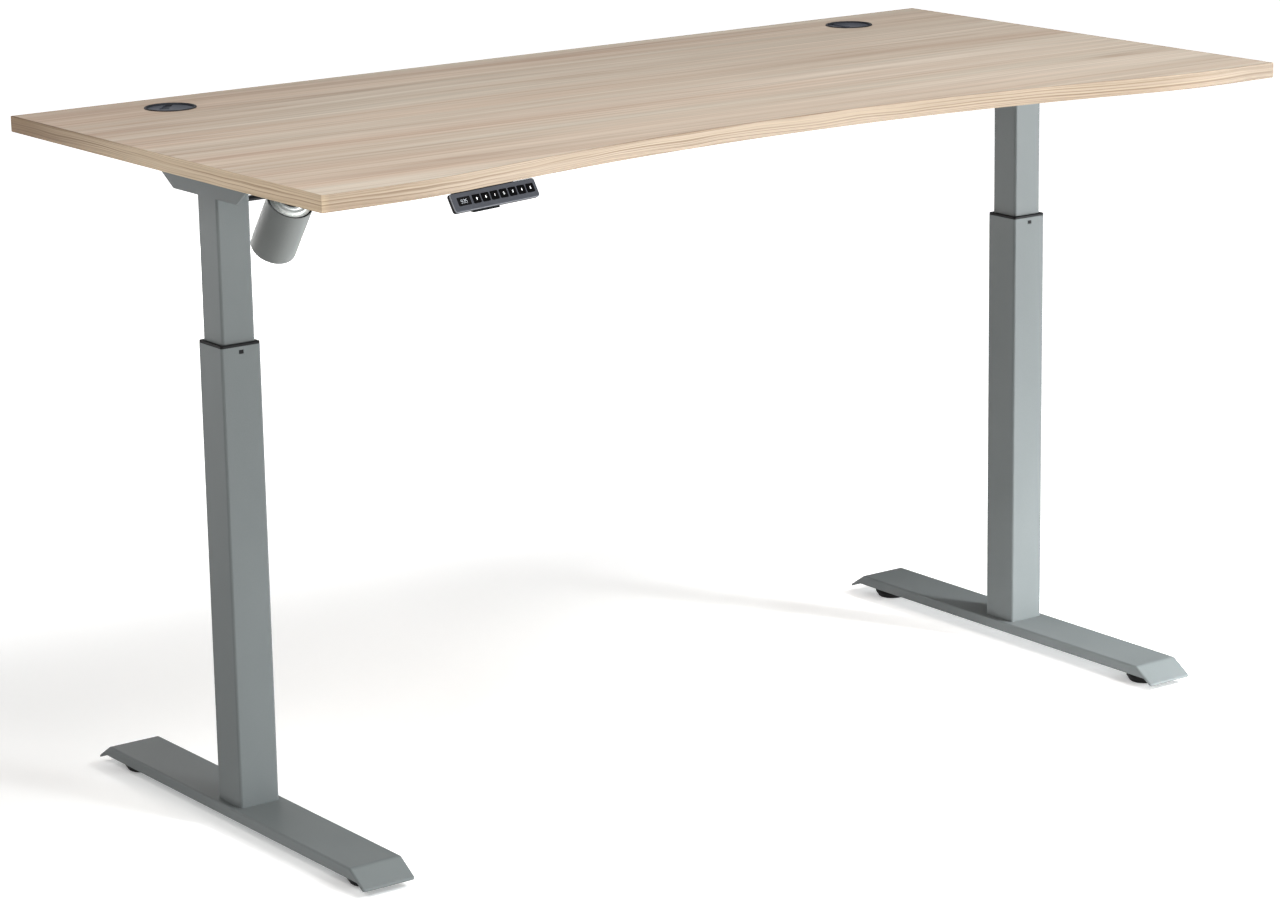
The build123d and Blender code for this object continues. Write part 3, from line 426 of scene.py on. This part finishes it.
def plate_from_polys(name, polys, w0, w1, du, dv, material, body):
    """Closed flat plates: each polygon (u, v in metres, counter-clockwise) becomes a thin prism."""
    bm = bmesh.new()
    for poly in polys:
        lo = [bm.verts.new(on_face(u + du, v + dv, w0)) for u, v in poly]
        hi = [bm.verts.new(on_face(u + du, v + dv, w1)) for u, v in poly]
        bm.faces.new(hi)
        bm.faces.new(list(reversed(lo)))
        n = len(poly)
        for i in range(n):
            j = (i + 1) % n
            bm.faces.new((lo[i], lo[j], hi[j], hi[i]))
    bmesh.ops.recalc_face_normals(bm, faces=bm.faces)
    me = bpy.data.meshes.new(name)
    bm.to_mesh(me)
    bm.free()
    return new_object(name, me, material, body)


def arrow(up):
    s = 1.0 if up else -1.0
    pts = [(0.0, 2.35), (2.1, 0.15), (1.15, 0.15), (0.72, 0.60), (0.72, -2.3), (-0.72, -2.3), (-0.72, 0.60), (-1.15, 0.15), (-2.1, 0.15)]
    pts = [(x * 0.76e-3, y * 0.76e-3 * s) for x, y in pts]
    return pts if s < 0 else list(reversed(pts))


def digit(name, text, size, u, v, w0, w1, material, body):
    cu = bpy.data.curves.new(name + "_curve", "FONT")
    cu.body = text
    cu.size = size
    cu.align_x = "CENTER"
    cu.align_y = "CENTER"
    cu.offset = size * 0.018
    cu.extrude = (w1 - w0) / 2
    cu.resolution_u = 6
    ob = bpy.data.objects.new(name + "_tmp", cu)
    scene.collection.objects.link(ob)
    bpy.context.view_layer.update()
    me = bpy.data.meshes.new_from_object(ob.evaluated_get(bpy.context.evaluated_depsgraph_get()))
    bpy.data.objects.remove(ob)
    bpy.data.curves.remove(cu)
    xs = [q.co.x for q in me.vertices]
    ys = [q.co.y for q in me.vertices]
    cx, cy = (min(xs) + max(xs)) / 2, (min(ys) + max(ys)) / 2
    for q in me.vertices:
        q.co = on_face(u + q.co.x - cx, v + q.co.y - cy, (w0 + w1) / 2 + q.co.z)
    bm = bmesh.new()
    bm.from_mesh(me)
    bmesh.ops.remove_doubles(bm, verts=bm.verts, dist=1e-7)
    bmesh.ops.recalc_face_normals(bm, faces=bm.faces)
    bm.to_mesh(me)
    bm.free()
    me.name = name
    return new_object(name, me, material, body)


names = ["up", "down", "1", "2", "3", "4", "5"]
for i, nm in enumerate(names):
    u = -0.03295 + 0.01583 * i
    if nm in ("up", "down"):
        plate_from_polys("legend_" + nm, [arrow(nm == "up")], 0.00056, 0.00063, u, BTN_V, M["legend"], "button_" + nm)
    else:
        digit("legend_" + nm, nm, 0.0047, u, BTN_V, 0.00056, 0.00063, M["legend"], "button_" + nm)

SEG = {
    "0": "abcdef", "1": "bc", "2": "abged", "3": "abgcd", "4": "fgbc", "5": "afgcd", "6": "afgedc", "7": "abc", "8": "abcdefg", "9": "abcdfg",
}


def segments(ch, du):
    """Seven-segment figure, about 3 x 5 mm, slightly slanted."""
    W, H, T, G = 1.25, 2.3, 0.21, 0.10

    def bar(p, q):
        (x0, y0), (x1, y1) = p, q
        dx, dy = x1 - x0, y1 - y0
        L = math.hypot(dx, dy)
        ux, uy = dx / L, dy / L
        nx, ny = -uy, ux
        a = (x0 + ux * G, y0 + uy * G)
        b = (x1 - ux * G, y1 - uy * G)
        a2 = (a[0] + ux * T, a[1] + uy * T)
        b2 = (b[0] - ux * T, b[1] - uy * T)
        pts = [a, (a2[0] - nx * T, a2[1] - ny * T), (b2[0] - nx * T, b2[1] - ny * T), b, (b2[0] + nx * T, b2[1] + ny * T), (a2[0] + nx * T, a2[1] + ny * T)]
        return [((x + 0.09 * y + du) * 1e-3, y * 1e-3) for x, y in pts]

    ends = {"a": ((-W, H), (W, H)), "b": ((W, H), (W, 0)), "c": ((W, 0), (W, -H)), "d": ((-W, -H), (W, -H)),
            "e": ((-W, 0), (-W, -H)), "f": ((-W, H), (-W, 0)), "g": ((-W, 0), (W, 0))}
    return [bar(*ends[c]) for c in SEG[ch]]


polys = []
for k, ch in enumerate("935"):
    polys += segments(ch, (k - 1) * 3.9)
dot = [(1.88 + 0.26 * math.cos(t * math.pi / 4), -2.3 + 0.26 * math.sin(t * math.pi / 4)) for t in range(8)]
polys.append([(x * 1e-3, y * 1e-3) for x, y in dot])
plate_from_polys("display_figures", polys, -0.00016, -0.00006, -0.0546, BTN_V, M["segment"], "top")

# ------------------------------------------------------------------ stage, light and camera
floor_mesh = bpy.data.meshes.new("floor")
# a round floor whose far rim curves up into a low backdrop, so no horizon line shows from any side
ROUND = 96
profile = [(26.0, 0.0)] + [(26.0 + 6.0 * math.sin(t * math.pi / 16), 6.0 - 6.0 * math.cos(t * math.pi / 16)) for t in range(1, 9)]
floor_verts = [(r * math.cos(2 * math.pi * k / ROUND), r * math.sin(2 * math.pi * k / ROUND), z) for r, z in profile for k in range(ROUND)]
floor_faces = [tuple(range(ROUND))]
for ring in range(len(profile) - 1):
    for k in range(ROUND):
        a, b = ring * ROUND + k, ring * ROUND + (k + 1) % ROUND
        floor_faces.append((a, b, b + ROUND, a + ROUND))
floor_mesh.from_pydata(floor_verts, [], floor_faces)
floor = bpy.data.objects.new("floor", floor_mesh)
floor.location.z = -0.0002
scene.collection.objects.link(floor)
fg = Graph("studio_floor")
fc = fg.coord()
fn = fg.noise(fc, 3.0, 3.0)
fx, fy, fz = fg.split(fc)
fr = fg.math("ADD", fg.math("MULTIPLY", fx, 0.6), fg.math("MULTIPLY", fy, 0.8))
away = fg.math("SQRT", fg.math("ADD", fg.math("MULTIPLY", fx, fx), fg.math("MULTIPLY", fy, fy)))
glow = fg.math("MAXIMUM", fg.ramp(fg.range(fr, -0.5, 4.5, 0.0, 1.0), (0.06, 0.22), (0.20, 0.36), (0.36, 0.52), (1.0, 1.0)),
               fg.ramp(fg.range(away, 1.0, 5.0, 0.0, 1.0), (0.15, 0.22), (0.42, 0.52), (0.80, 1.0)))
fg.set(color=fg.ramp(fn, (0.3, (0.900, 0.900, 0.900)), (0.7, (0.915, 0.915, 0.915))), rough=fg.range(fn, 0.3, 0.7, 0.85, 0.95), spec=0.1,
       emit=(1.0, 1.0, 1.0), emit_power=glow)
floor.data.materials.append(fg.mat)

world = bpy.data.worlds.new("studio")
scene.world = world
world.use_nodes = True
bg = world.node_tree.nodes["Background"]
bg.inputs[0].default_value = (1.0, 1.0, 1.0, 1.0)
bg.inputs[1].default_value = 0.02


def area(name, loc, target, size, energy, color=(1, 1, 1), size_y=None):
    l = bpy.data.lights.new(name, "AREA")
    l.shape = "RECTANGLE"
    l.size = size
    l.size_y = size_y or size
    l.energy = energy
    l.color = color
    o = bpy.data.objects.new(name, l)
    o.location = loc
    o.rotation_euler = (Vector(target) - Vector(loc)).to_track_quat("-Z", "Y").to_euler()
    o.visible_camera = False
    scene.collection.objects.link(o)
    return o


def spot(name, loc, target, angle, energy, radius, color=(1, 1, 1)):
    l = bpy.data.lights.new(name, "SPOT")
    l.spot_size = math.radians(angle)
    l.spot_blend = 1.0
    l.shadow_soft_size = radius
    l.energy = energy
    l.color = color
    o = bpy.data.objects.new(name, l)
    o.location = loc
    o.rotation_euler = (Vector(target) - Vector(loc)).to_track_quat("-Z", "Y").to_euler()
    o.visible_camera = False
    scene.collection.objects.link(o)
    return o


area("key", (4.2, -1.3, 0.46), (0.4, 0.0, 0.45), 2.6, 168.0, (0.945, 0.987, 1.0), size_y=0.85)
area("front_right", (3.0, -3.2, 0.46), (0.5, 0.0, 0.40), 2.2, 178.0, (0.945, 0.987, 1.0), size_y=0.85)
area("overhead", (0.50, -1.5, 3.0), (0.3, -0.3, 0.6), 3.0, 109.0, size_y=1.6)
area("left", (-1.9, -0.7, 1.55), (-0.75, -0.1, 0.70), 0.6, 8.0, (1.0, 0.985, 0.95))
area("left_far", (-3.6, -1.0, 3.2), (-0.7, 0.0, 0.45), 1.2, 50.0, (1.0, 0.99, 0.97))
area("back", (-0.4, 3.6, 0.42), (-0.2, 0.0, 0.45), 4.0, 56.0, size_y=0.75)
area("rim", (-0.3, 4.2, 2.4), (0.2, 1.2, 0.0), 3.0, 30.0, size_y=2.0)
spot("low_right", (1.9, -2.5, 1.1), (0.69, -0.1, 0.22), 34.0, 16.0, 0.3, (0.97, 0.99, 1.0))
spot("foot_right", (1.9, -2.5, 2.3), (0.69, -0.18, 0.0), 14.0, 1700.0, 0.3, (0.97, 0.99, 1.0))
spot("foot_left", (0.4, -2.8, 2.3), (-0.69, -0.24, 0.02), 13.0, 380.0, 0.3, (0.94, 0.99, 1.0))
spot("low_front", (0.2, -3.2, 0.6), (0.0, 0.0, 0.3), 60.0, 20.0, 0.4, (0.90, 0.985, 1.0))

cam_data = bpy.data.cameras.new("camera")
cam = bpy.data.objects.new("camera", cam_data)
scene.collection.objects.link(cam)
scene.camera = cam
F_PX = 3886.9
cam_data.sensor_fit = "HORIZONTAL"
cam_data.sensor_width = 36.0
cam_data.lens = F_PX / 1280.0 * 36.0
cam_data.clip_start, cam_data.clip_end = 0.05, 200.0
yaw, pitch, roll = math.radians(36.076), math.radians(14.195), math.radians(0.951)
fwd = Vector((math.sin(yaw) * math.cos(pitch), math.cos(yaw) * math.cos(pitch), -math.sin(pitch)))
right = Vector((math.cos(yaw), -math.sin(yaw), 0.0))
down = fwd.cross(right)
r2 = right * math.cos(roll) + down * math.sin(roll)
d2 = down * math.cos(roll) - right * math.sin(roll)
rot = Matrix((r2, -d2, -fwd)).transposed().to_4x4()
cam.matrix_world = Matrix.Translation((-3.1991, -4.33054, 1.76559)) @ rot

scene.view_settings.view_transform = "Standard"
scene.view_settings.look = "None"
scene.view_settings.exposure = 0.0
